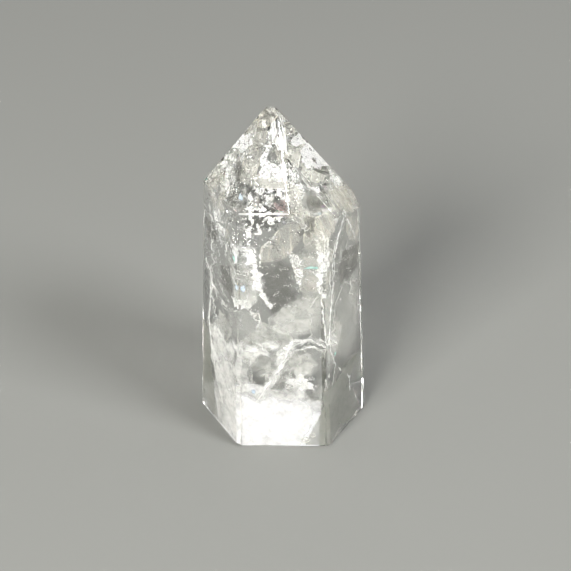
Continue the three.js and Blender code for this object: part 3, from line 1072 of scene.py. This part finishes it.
    # Under the faces of the point.
    point: ClassVar[tuple] = (
        Sheet("tip_pane", "pane", TIP_FRONT, 0.6, None, 0, ((-5.2, 51.7), (-4.4, 55.6), (-2, 56.6),
            (-0.4, 55.2), (-2.5, 52.2)), folds=0.05, seed=30, **PANE_BORDER),
        Sheet("tip_needles", "needle", TIP_FRONT, 1.9, -6, 4, ((-2.6, 54.4), (0.1, 53.6), (0.7, 47),
            (-0.9, 46.6), (-2.8, 49.6)), folds=0.2, fade=0.2, seed=31),
        Sheet("tip_beige", "pane", TIP_FRONT, 2.4, 10, 0, ((-5.7, 53.4), (-2.7, 53.2), (-3.7, 48),
            (-6.2, 47.5), (-6.8, 51.3)), folds=0.1, seed=29, **PANE_BORDER),
        Sheet("tip_chip", "dense", TIP_FRONT, 1.8, 0, 0, ((-4.4, 53.9), (-3, 53.6), (-3.2, 51.6),
            (-4.3, 51.4)), folds=0.1, seed=28),
        Sheet("tip_patch", "crushed", TIP_LEFT, 0.5, None, 0, ((-7, 53), (-2.3, 54.6), (0, 53.1), (-1, 51.1),
            (-2.3, 49.8), (-5.5, 49.6)), folds=0.1, fade=0.15, seed=31),
        Sheet("tip_plane", "pane", TIP_FRONT, 3, 12, 6, ((-7.4, 44.9), (-5.7, 47.6), (-3.9, 47.4), (-5.9, 40),
            (-7.9, 41.2)), folds=0.1, seed=32, **PANE_BORDER),
        Sheet("triangle_low", "chalk", TIP_FRONT, 3.2, -8, 4, ((-3.9, 46), (-2.4, 44.9), (-0.9, 44.4),
            (0.5, 45), (0.2, 40.8), (-5.3, 40.9)), folds=0.1, fade=0.12, ragged=0.06, seed=33),
        Sheet("triangle_left", "chalk", TIP_FRONT, 3.2, -8, 4, ((-3, 49.8), (-2.2, 48.2), (-3.4, 47.3),
            (-3.2, 45.6), (-4.6, 43.6), (-4.4, 46)), folds=0.1, ragged=0.05, fade=0.12, seed=34),
        Sheet("triangle_right", "pane", TIP_FRONT, 3.3, -8, 4, ((-2.9, 49.8), (-0.6, 49.7), (0.7, 45.7),
            (-0.1, 44.2), (-1.1, 45), (-1.7, 47.9)), folds=0.1, ragged=0.05, fade=0.12, seed=35),
        Vein("edge_right", "line", TIP_FRONT, 1.2, 0, 0, ((-0.4, 52.6), (0.4, 49.8), (0.5, 46.2)), width=0.3,
            wander=0.05, seed=38),
        Sheet("arcs", "glaze", TIP_FRONT, 3, 0, 14, ((-5.6, 41.6), (0.2, 41.6), (0.8, 39.6), (-5, 39.4)),
            bulge=0.4, folds=0.1, seed=39, **PANE_BORDER),
        # A painted blue glint.
        Sheet("blue_spot", "painted_blue_glint", TIP_FRONT, 1, 0, 0, oval(-8.2, 38, 1.2, 1.8), folds=0.05, seed=67),
        # Painted shade behind the white islands and in two clear places under the point.
        Sheet("islands_dusk", "painted_deep_shade", TIP_FRONT, 6, 0, 0, ((-7.6, 41), (0.6, 41), (0.4, 34), (-3.6, 32.6),
            (-7.2, 31)), fade=0.3, seed=81),
        Sheet("hole_dusk", "painted_shade", TIP_RIGHT, 4, 0, 0, ((-2, 42.6), (1.2, 41), (0.8, 39.4), (-0.4, 37.6),
            (-4, 39.4)), folds=0.1, fade=0.3, seed=82),
        Sheet("slit_dusk", "painted_shade", TIP_LEFT, 1.6, 0, 0, ((-3.6, 50), (-2, 49.8), (1, 48), (2.6, 45),
            (1.4, 44.8), (-1.6, 47.4)), folds=0.05, fade=0.3, seed=83),
        Sheet("islands", "islands_white", TIP_FRONT, 3.6, 0, 0, ((-7.4, 40.8), (1, 40.8), (0.9, 34.8),
            (-1.2, 33.4), (-2.8, 30.6), (-7.2, 30.2)), folds=0.15, fold_length=3, fade=0.2, seed=36),
        Sheet("iron_stain", "iron_stain", TIP_FRONT, 3, -10, 0, ((-2.2, 37.2), (0.4, 37.4), (0.7, 35),
            (-1.8, 34.8)), folds=0.1, crisp=0, seed=50),
        Sheet("front_right", "pane", TIP_FRONT, 2.6, -20, 0, ((0.2, 41), (2.6, 39.8), (4.4, 38.1), (4, 34.8),
            (0.9, 34.4)), folds=0.1, seed=37, **PANE_BORDER),
        Sheet("right_blush", "pane", SHOULDER, 0.5, None, 0, ((1.3, 56.4), (4.4, 54.8), (1.8, 53.4),
            (-0.6, 54.6)), folds=0.05, seed=38, **PANE_BORDER),
        Sheet("right_cap", "dense", SHOULDER, 0.5, None, 0, ((0.2, 53.4), (3.4, 52.4), (3.6, 49.8),
            (-0.5, 51.3), (-1.2, 52.6)), folds=0.05, fade=0.2, seed=38),
        Sheet("right_plane", "glaze", TIP_RIGHT, 2.8, -8, 6, ((-0.9, 53.7), (1.6, 50.5), (-0.9, 47.9),
            (-2.4, 51.2)), folds=0.1, seed=40, **PANE_BORDER),
        Sheet("right_patch", "dense", SHOULDER, 0.5, None, 0, ((-0.4, 50.5), (4, 50), (6.5, 44.5), (6, 42),
            (3, 43.9), (1.4, 44), (-1, 45.8), (-3.1, 47.7), (-1.8, 49.4)), hollow=0.22, folds=0.05, fade=0.12,
            ragged=0.05, seed=39),
        Sheet("right_glaze", "glaze", SHOULDER, 2.4, -12, 8, ((-1, 45.8), (1.7, 42.4), (-0.8, 42.5),
            (-2.4, 44.2)), bulge=0.2, folds=0.1, seed=57, **PANE_BORDER),
        Sheet("right_mosaic", "blotch", TIP_RIGHT, 2.6, -14, 0, ((-2.4, 50.8), (-1.1, 47.8), (-1.8, 42.6),
            (-4.6, 41), (-5.6, 44)), folds=0.15, fade=0.2, seed=58),
        Vein("point_line_a", "streak", TIP_RIGHT, 2.4, -10, 0, ((-2.2, 51), (-0.9, 44.9), (1.3, 38.9),
            (2, 36.6)), width=0.3, wander=0.06, seed=41),
        Vein("point_line_b", "streak", TIP_RIGHT, 2.2, -10, 0, ((-1.4, 50), (0.2, 43.9), (2.6, 39.8)),
            width=0.22, wander=0.05, seed=42),
        Vein("point_line_c", "streak", TIP_RIGHT, 2.6, -10, 0, ((-1.8, 49.4), (-0.2, 43.4), (1.7, 39.8)),
            width=0.2, wander=0.05, seed=59),
        Vein("right_jag", "streak", TIP_RIGHT, 2.4, -15, 0, ((-6.4, 40.4), (-5.8, 38.3), (-5, 36.4)),
            wander=0.25, seed=43),
        Sheet("right_wing", "feather", TIP_RIGHT, 3, -12, 10, ((-2.1, 37.7), (2.2, 36.8), (1.5, 33),
            (-2.2, 32.8), (-4.5, 34.9)), bulge=0.4, folds=0.2, ragged=0.08, crisp=100, fade=0.2, seed=44),
        Sheet("right_blob", "dense", TIP_RIGHT, 2.2, -14, 6, ((-0.2, 43.5), (2, 42.8), (1.7, 41.6),
            (0.5, 41.4)), folds=0.1, fade=0.3, seed=60),
        Sheet("shoulder_edge", "blotch", SHOULDER, 0.5, None, 0, ((5.2, 44.2), (5.8, 37.5), (0.7, 37.7),
            (1.7, 42.6)), folds=0.2, seed=45),
        Sheet("shoulder_top", "pane", SHOULDER, 0.5, None, 0, ((2, 38.4), (6.6, 37.2), (6.6, 33.5),
            (3.2, 33.6), (1.8, 35.9)), folds=0.05, seed=68, **PANE_BORDER),
        Sheet("shoulder_blush", "feather", SHOULDER, 1.8, -22, 4, ((2.7, 42.2), (5.3, 33.5), (1.6, 32.3),
            (0.7, 37.7)), folds=0.1, seed=61, **PANE_BORDER),
        Sheet("shoulder", "feather", SHOULDER, 2.6, -15, 12, ((-0.7, 40), (4.9, 37), (4.5, 33), (0.8, 32.7),
            (-3, 36.6)), folds=0.2, crisp=60, fade=0.4, seed=46),
        Sheet("left_edge", "blotch", TIP_LEFT, 1.8, -8, 0, ((-7.6, 44.9), (-5.2, 50.2), (-2.6, 48.6),
            (-3.4, 43.6)), folds=0.2, seed=47),
        Sheet("left_plane", "pane", TIP_LEFT, 3.2, -12, 8, ((-7.7, 40.4), (-6.4, 43.2), (-2.4, 44.6),
            (2.2, 39.5), (-2.7, 36.4)), crisp=60, seed=48),
        Sheet("left_blobs", "blotch", TIP_LEFT, 2.2, 10, 0, ((-5.4, 46.2), (-3.4, 48.2), (-1.2, 45.4),
            (2.2, 41.6), (0.7, 40.4)), seed=49),
    )

    # Behind the left and right faces.
    sides: ClassVar[tuple] = (
        Vein("left_line", "line", LEFT, 0.8, 0, 0, ((-5, 36), (-5.4, 33), (-5.9, 24.9), (-4.6, 17.8),
            (-4.1, 8.5), (-0.9, 3.9)), seed=51),
        Sheet("left_field", "milk", LEFT, 3.4, 10, 0, ((-6.2, 24.6), (-5.4, 17), (-5, 8), (-1.8, 3.2),
            (6.8, 2.6), (6.8, 27.6), (0.4, 29.4)), bulge=0.5, folds=0.5, crisp=180, fade=0.6, seed=52),
        Sheet("left_drift", "wisp", LEFT, 5.2, -12, 8, ((-6.4, 37), (-1, 44), (6, 42), (6.6, 28), (0, 29.4),
            (-6.2, 26)), folds=0.6, seed=53),
        Sheet("left_wisps", "blotch", LEFT, 2.6, 15, 5, ((-5.6, 57.2), (-1, 58), (1.8, 51.4), (1, 46),
            (-3.8, 48.6)), folds=0.4, seed=54),
        Vein("left_crook", "streak", LEFT, 2.8, 10, 0, ((-7.8, 39), (-4.1, 35.2), (-5.6, 30)), seed=55),
        Sheet("left_root", "milk", LEFT, 1, None, 0, ((-4.4, 17), (-3.8, 7), (-0.8, -2), (11, -3), (11, 28),
            (0, 24)), folds=0.1, ragged=0.04, fade=0.6, crisp=-120, rim=0.05, seed=56),
        # Milk painted grey: painted shade low on the left face and the right face.
        Sheet("left_strip", "milk_painted_grey_for_shade", LEFT, 0.8, None, 0, ((-12, -3), (-1.2, -3), (-4, 8.5), (-4.6, 17.8),
            (-5.8, 26), (-12, 27)), folds=0.05, ragged=0.02, fade=0.4, rim=0.05, seed=50),
        Sheet("left_low", "milk_painted_grey_for_shade", LEFT, 1.4, None, 0, ((-12, -3), (3.5, -3), (2.5, 13), (-12, 12)),
            folds=0.05, ragged=0.02, fade=0.3, seed=85),
        Sheet("right_root", "milk_painted_grey_for_shade", RIGHT, 0.9, None, 0, ((-10, -3), (10, -3), (10, 20), (2.6, 12),
            (-2.3, 17.6), (-10, 15)), folds=0.1, ragged=0.03, fade=0.4, rim=0.05, seed=57),
        # Painted shade in clear places behind the side faces.
        Sheet("right_dusk", "painted_shade", RIGHT, 3.6, 0, 0, ((-1.9, 43.2), (1.1, 46.9), (7.7, 44.4), (7.5, 38),
            (3.3, 37.8), (-1.3, 37.4)), folds=0.1, fade=0.3, seed=89),
        Sheet("left_dusk", "painted_shade", LEFT, 5.6, 0, 0, ((-0.5, 43.2), (5.5, 46.5), (5.6, 38.1), (1.7, 36.6),
            (-1.4, 38.4)), folds=0.1, fade=0.4, seed=90),
        Sheet("left_dusk_top", "painted_shade", LEFT, 3, 0, 0, ((-7.6, 51.1), (-3.6, 51.2), (-1.4, 49.1), (-3, 46.4),
            (-7.2, 45.6)), folds=0.1, fade=0.3, seed=91),
        Vein("left_streak", "streak", LEFT, 1.2, 0, 0, ((-7.2, 40.6), (-5.5, 38.3), (-3.9, 35), (-1.8, 33.2)),
            width=1.1, wander=0.2, seed=92),
        Sheet("left_spot", "dense", LEFT, 2, 0, 0, oval(1.7, 48.3, 1.1, 3, 10), folds=0.1, fade=0.6, seed=93),
        Vein("right_spoke", "line", RIGHT, 1.2, 0, 0, ((1.8, 53.9), (3.8, 50.4), (6.2, 45.8)), width=0.35,
            wander=0.1, seed=94),
        Sheet("right_haze", "haze", RIGHT, 1.6, None, 0, ((-3, 27.5), (10, 27.5), (10, 4), (2.6, 9),
            (-2.5, 15)), folds=0.05, fade=0.6, seed=86),
        # Painted teal glints on the right and left faces.
        Sheet("teal_right", "painted_teal_glint", RIGHT, 1, None, 0, oval(-3.4, 22.4, 1.4, 1.8), folds=0.05, fade=0.8,
            seed=70),
        Sheet("teal_left", "painted_teal_glint", LEFT, 1.4, 0, 0, oval(5, 47.6, 2.2, 1.8), folds=0.1, fade=0.8,
            seed=71),
        Vein("right_zigzag", "line", RIGHT, 0.6, 0, 0, ((-2.6, 46.1), (-4.7, 34.5), (-5.8, 26.2),
            (-2.3, 17.8), (-5.9, 13)), width=0.4, seed=61),
        Vein("right_crook", "line", RIGHT, 1, 0, 0, ((-2.3, 17.8), (0.6, 14.8), (2.6, 12), (3.8, 7)),
            width=0.4, seed=62),
        Sheet("right_field_low", "haze", RIGHT, 4, -12, 6, ((-6, 27), (-2.2, 36.4), (7.8, 38.4), (8, 12.4),
            (2.6, 12.2), (-2.6, 18.4)), bulge=0.6, folds=0.6, crisp=100, fade=0.7, seed=63),
        Sheet("right_fan", "feather", RIGHT, 2.8, -12, 12, ((1.6, 54.4), (7.6, 50.4), (7.6, 43), (3, 47.6)),
            crisp=180, seed=64),
        Vein("right_line_a", "dense", RIGHT, 1.6, 0, 0, ((1.9, 54.4), (-1.3, 50.4), (-3.5, 44.9), (-3.9, 36)),
            width=0.7, seed=65),
        Vein("right_line_b", "streak", RIGHT, 2, 0, 0, ((0.6, 53), (-2.4, 49.6), (-4.6, 44), (-4.8, 37.4)),
            width=0.4, seed=66),
    )

    # What the back faces show.
    back: ClassVar[tuple] = (
        Sheet("back_cloud", "smooth", BACK, 4, 14, 8, oval(3, 14, 14, 16, 20), bulge=0.8, folds=0.6, crisp=60,
            fade=0.7, seed=71),
        Sheet("back_left", "haze", BACK_LEFT, 3, 10, 6, oval(0, 28, 11, 24, 8), folds=0.6, crisp=20, seed=72),
        Sheet("back_right", "haze", BACK_RIGHT, 3, -10, 6, oval(0, 30, 10, 26, -8), folds=0.6, crisp=150,
            seed=73),
        Vein("back_line", "dense", BACK, 2.4, 0, 0, ((8, 50), (6.4, 36), (7.6, 27), (2, 14)), width=0.8,
            wander=0.3, seed=74),
        Sheet("point_back", "blotch", TIP_BACK, 2.6, 8, -8, oval(0, 47, 10, 12, 12), folds=0.5, fold_length=3,
            seed=75),
    )

    def build(self) -> None:
        """Make each sheet as its own piece, with one material for each finish."""
        made = {finish.name: finish.material() for finish in self.finishes}
        for sheet in self.lower + self.middle + self.point + self.sides + self.back:
            make_piece(f"veil_{sheet.name}", sheet.shell(self.walls), made[sheet.finish])


@dataclass(frozen=True)
class Cracks:
    """Clean fractures: a few large ones, and the crackle that fills the point.

    The crackle lies between two heights, low_mm and high_mm, inside a box of half_width_mm and
    half_depth_mm, and no nearer the walls than room_mm.
    """

    walls: CrystalWalls
    crackle_count: int = 84
    low_mm: float = 50.0
    high_mm: float = 73.0
    half_width_mm: float = 16.0
    half_depth_mm: float = 13.0
    room_mm: float = 0.8
    seed: int = 7

    # The large ones. The finish tells how thick the film in them is.
    large: ClassVar[tuple] = (
        Sheet("low_arc", "film_430nm", FRONT, 6, -30, 20, oval(-5.6, 15, 2.4, 2.6), bulge=0.3, folds=0.1,
            ripples=0.03, seed=73, thickness=0.05),
        Sheet("left", "air_gap", LEFT, 4, 35, 10, oval(3, 52, 4, 8), bulge=0.3, ripples=0.03, seed=74,
            thickness=0.05),
        Sheet("cyan_line", "film_320nm", FRONT, 3, 5, 30, oval(5.6, 46, 2.8, 0.6), folds=0.03, seed=76,
            thickness=0.05),
        Sheet("pink_glint", "film_460nm", TIP_FRONT, 3.2, -8, 12, oval(-0.6, 36, 2.6, 2.4), folds=0.08,
            seed=77, thickness=0.05),
        Sheet("pale_glint", "film_380nm", FRONT, 3.2, 12, 30, oval(-8.2, 41.4, 2, 3.2), folds=0.08, seed=78,
            thickness=0.05),
    )

    def crackle(self) -> dict:
        """Scatter small cracks through the point, thickest near the tip.

        Returns:
            One shell of all of them, joined.
        """
        draw = np.random.default_rng(self.seed)
        shells = []
        while len(shells) < self.crackle_count:
            height = self.low_mm + (self.high_mm - self.low_mm) * draw.uniform(0, 1) ** 0.8
            centre = np.array([draw.uniform(-self.half_width_mm, self.half_width_mm),
                               draw.uniform(-self.half_depth_mm, self.half_depth_mm), height])
            azimuth, tilt, spin = draw.uniform(-180, 180), draw.uniform(-50, 70), draw.uniform(0, 180)
            size, seed = draw.uniform(1.2, 3.6), int(draw.integers(1e6))
            if (self.walls.offsets - self.walls.normals @ centre).min() < self.room_mm:
                continue
            sheet = Sheet("crackle", "air_gap", Face.FRONT, 0, 0, 0, oval(0, 0, size, size * 0.7),
                          bulge=0.12 * size, folds=0.05 * size, fold_length=1.5, ripples=0.03,
                          ripple_length=0.6, ragged=0.25, thickness=0.04, rings=6, spokes=28, seed=seed)
            shells.append(sheet.shell(self.walls, Plane.turned(centre, azimuth, tilt, spin)))
        return join_shells(shells)

    def build(self) -> None:
        """Make the large fractures one by one and the crackle as one piece."""
        films = {"air_gap": 0, "film_320nm": 320, "film_380nm": 380, "film_430nm": 430, "film_460nm": 460}
        made = {name: CleanCrack(f"crack_{name}", film).material() for name, film in films.items()}
        for sheet in self.large:
            make_piece(f"crack_{sheet.name}", sheet.shell(self.walls), made[sheet.finish])
        make_piece("crack_crackle", self.crackle(), made["air_gap"])


@dataclass(frozen=True)
class Flakes:
    """Sprays of tiny flakes: crushed white quartz along the fractures, mirrors, and a few dark grains."""

    walls: CrystalWalls

    # Crushed white quartz.
    white: ClassVar[tuple] = (
        Spray("white", "crushed", TIP_FRONT, 4, 0, 0, ((-8.6, 46), (-2.4, 53), (3.6, 45), (3.6, 35),
            (-8.2, 34.6)), 900, spread=0.8, seed=81),
        Spray("white", "crushed", FRONT, 5, 10, 0, ((-9, 58), (6, 58), (8.8, 50), (8.6, 38), (-4, 36),
            (-9, 36)), 900, spread=0.7, seed=82),
        Spray("white", "crushed", FRONT, 6.5, 10, 0, oval(3, 17.6, 7, 8), 900, spread=0.5, seed=83),
        Spray("white", "crushed", TIP_RIGHT, 4, 0, 0, oval(1, 46, 8, 18, 12), 600, spread=0.8, seed=84),
        Spray("white", "crushed", LEFT, 3.4, 10, 0, oval(0, 47, 12, 20), 700, spread=0.8, seed=85),
        Spray("white", "crushed", RIGHT, 3, 0, 0, oval(0, 44, 12, 20), 500, spread=0.8, seed=86),
        Spray("white", "crushed", TIP_LEFT, 3.4, 0, 0, oval(-2, 43, 9, 10), 500, spread=0.8, seed=87),
    )

    # Tiny air gaps, which glint.
    mirrors: ClassVar[tuple] = (
        Spray("glint", "gap", TIP_FRONT, 5, 0, 0, oval(-2.6, 43, 11, 17), 260, least=0.12, most=0.5, spread=2,
            scatter=2, seed=91),
        Spray("glint", "gap", FRONT, 6, 0, 0, oval(0, 54, 17, 9), 160, least=0.1, most=0.45, spread=2,
            scatter=2, seed=92),
    )

    # A few grains of dark mineral.
    dark: ClassVar[tuple] = (
        Spray("dark", "mineral", TIP_FRONT, 2, 0, 0, oval(-2.6, 47, 7, 12), 60, least=0.06, spread=0.8,
            seed=95),
        Spray("dark", "mineral", TIP_RIGHT, 2, 0, 0, oval(2.6, 46, 5, 12), 24, least=0.06, most=0.2, seed=96),
        Spray("dark", "mineral", SHOULDER, 0.8, 0, 0, oval(1.6, 45.9, 0.9, 0.7), 8, least=0.14, most=0.3,
            spread=0.1, seed=98),
        Spray("dark", "mineral", TIP_LEFT, 0.8, 0, 0, oval(-5.9, 46.4, 1.1, 0.9), 9, least=0.14, most=0.3,
            spread=0.1, seed=100),
        Spray("dark", "mineral", TIP_LEFT, 0.8, 0, 0, oval(-3.8, 45.3, 0.8, 1), 8, least=0.14, most=0.3,
            spread=0.1, seed=101),
        Spray("dark", "mineral", TIP_FRONT, 1, 0, 0, oval(-1.2, 53.8, 2.6, 1), 10, least=0.1, most=0.26,
            spread=0.1, seed=99),
        Spray("dark", "mineral", RIGHT, 0.8, 0, 0, oval(-3.2, 28.4, 0.5, 0.5), 2, least=0.15, most=0.25,
            spread=0.05, seed=97),
    )

    def build(self) -> None:
        """Make one piece of each kind of flake."""
        made = {"crushed": Grain("quartz_crushed", "#FFFFFC", 0.5).material(),
                "mineral": Grain("mineral_dark", "#3A2F22", 0.4).material(),
                "gap": CleanCrack("glint_air_gap").material()}
        for sprays in (self.white, self.mirrors, self.dark):
            shell = join_shells([spray.shell(self.walls) for spray in sprays])
            make_piece(f"flakes_{sprays[0].name}", shell, made[sprays[0].finish], smooth=False)


@dataclass(frozen=True)
class Lamp:
    """A soft box: where it hangs, its size in metres, its power in watts and its colour."""

    name: str
    place: tuple
    size: tuple
    power: float
    colour: str


@dataclass(frozen=True)
class Studio:
    """The pale floor, the soft light and the camera at the photograph's angle."""

    elevation: float = 36.5
    distance_mm: float = 400.0
    aim_mm: tuple = (0.516, -0.226, 33.0)
    lens_mm: float = 120.1
    sensor_mm: float = 36.0
    floor_half_m: float = 1.5
    floor_drop_mm: float = 0.05
    floor_colour: str = "#6E6F6C"
    floor_roughness: float = 0.9
    lamps_aim_m: tuple = (0, 0, 0.035)
    sky_strength: float = 0.13

    def eye_mm(self) -> np.ndarray:
        """Return where the camera stands: in front of the stone, looking down at it."""
        return np.array(self.aim_mm) + self.distance_mm * facing(-90, self.elevation)

    def camera(self) -> None:
        """Place the camera."""
        data = bpy.data.cameras.new("camera")
        data.lens, data.sensor_width = self.lens_mm, self.sensor_mm
        data.clip_start, data.clip_end = 0.01, 20.0
        camera = add_object("camera", data)
        camera.location = self.eye_mm() * MM
        camera.rotation_euler = (math.pi / 2 - math.radians(self.elevation), 0, 0)
        bpy.context.scene.camera = camera

    def floor(self) -> None:
        """Lay the plain pale floor, a hair below the foot so that the two don't lie in one plane."""
        half, low = self.floor_half_m, -self.floor_drop_mm * MM
        mesh = bpy.data.meshes.new("floor")
        corners = [(-half, -half, low), (half, -half, low), (half, half, low), (-half, half, low)]
        mesh.from_pydata(corners, [], [(0, 1, 2, 3)])
        # Matt paper: an even grey that mirrors nothing.
        matt = {"Roughness": self.floor_roughness}
        mesh.materials.append(new_material("floor_paper", self.floor_colour, matt)[0])
        floor = add_object("floor", mesh)

    def lamps(self) -> list:
        """List the soft boxes."""
        return [
            Lamp("key", (-0.52, -0.94, 0.72), (0.55, 0.4), 35, "#FFFDF8"),
            Lamp("fill", (0.84, -0.55, 0.95), (0.42, 0.42), 20, "#FFFFFF"),
            Lamp("top", (0.2, 0.3, 1.3), (1.8, 1.8), 10, "#FFFFFF"),
        ]

    def light(self) -> None:
        """Hang the soft boxes and light the sky evenly."""
        for lamp in self.lamps():
            data = bpy.data.lights.new(lamp.name, "AREA")
            data.shape = "RECTANGLE"
            data.size, data.size_y = lamp.size
            data.energy, data.color = lamp.power, linear(lamp.colour)[:3]
            light = add_object(lamp.name, data)
            light.location = lamp.place
            aim = Vector(self.lamps_aim_m) - light.location
            light.rotation_euler = aim.to_track_quat("-Z", "Y").to_euler()
        world = bpy.data.worlds.new("sky")
        world.use_nodes = True
        background = world.node_tree.nodes["Background"]
        background.inputs["Color"].default_value = (1, 1, 1, 1)
        background.inputs["Strength"].default_value = self.sky_strength
        bpy.context.scene.world = world

    def paths(self) -> None:
        """Let light pass through the many layers inside the stone."""
        scene = bpy.context.scene
        scene.view_settings.view_transform = "Standard"
        scene.cycles.max_bounces = 32
        scene.cycles.transmission_bounces = 32
        scene.cycles.glossy_bounces = 16
        scene.cycles.transparent_max_bounces = 96
        scene.cycles.sample_clamp_indirect = 40.0

    def build(self) -> None:
        """Set up the whole studio."""
        self.camera()
        self.floor()
        self.light()
        self.paths()


def main() -> None:
    """Build the studio, the stone and all that it holds, in order."""
    logging.basicConfig(level=logging.INFO, format="%(message)s")
    studio = Studio()
    studio.build()
    walls = CrystalWalls.from_node(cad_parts[NODE], studio.eye_mm())
    LOG.info("walls: %d", len(walls.offsets))
    PolishedStone().build()
    for part in (Veils(walls), Cracks(walls), Flakes(walls)):
        part.build()


if __name__ == "__main__":
    main()
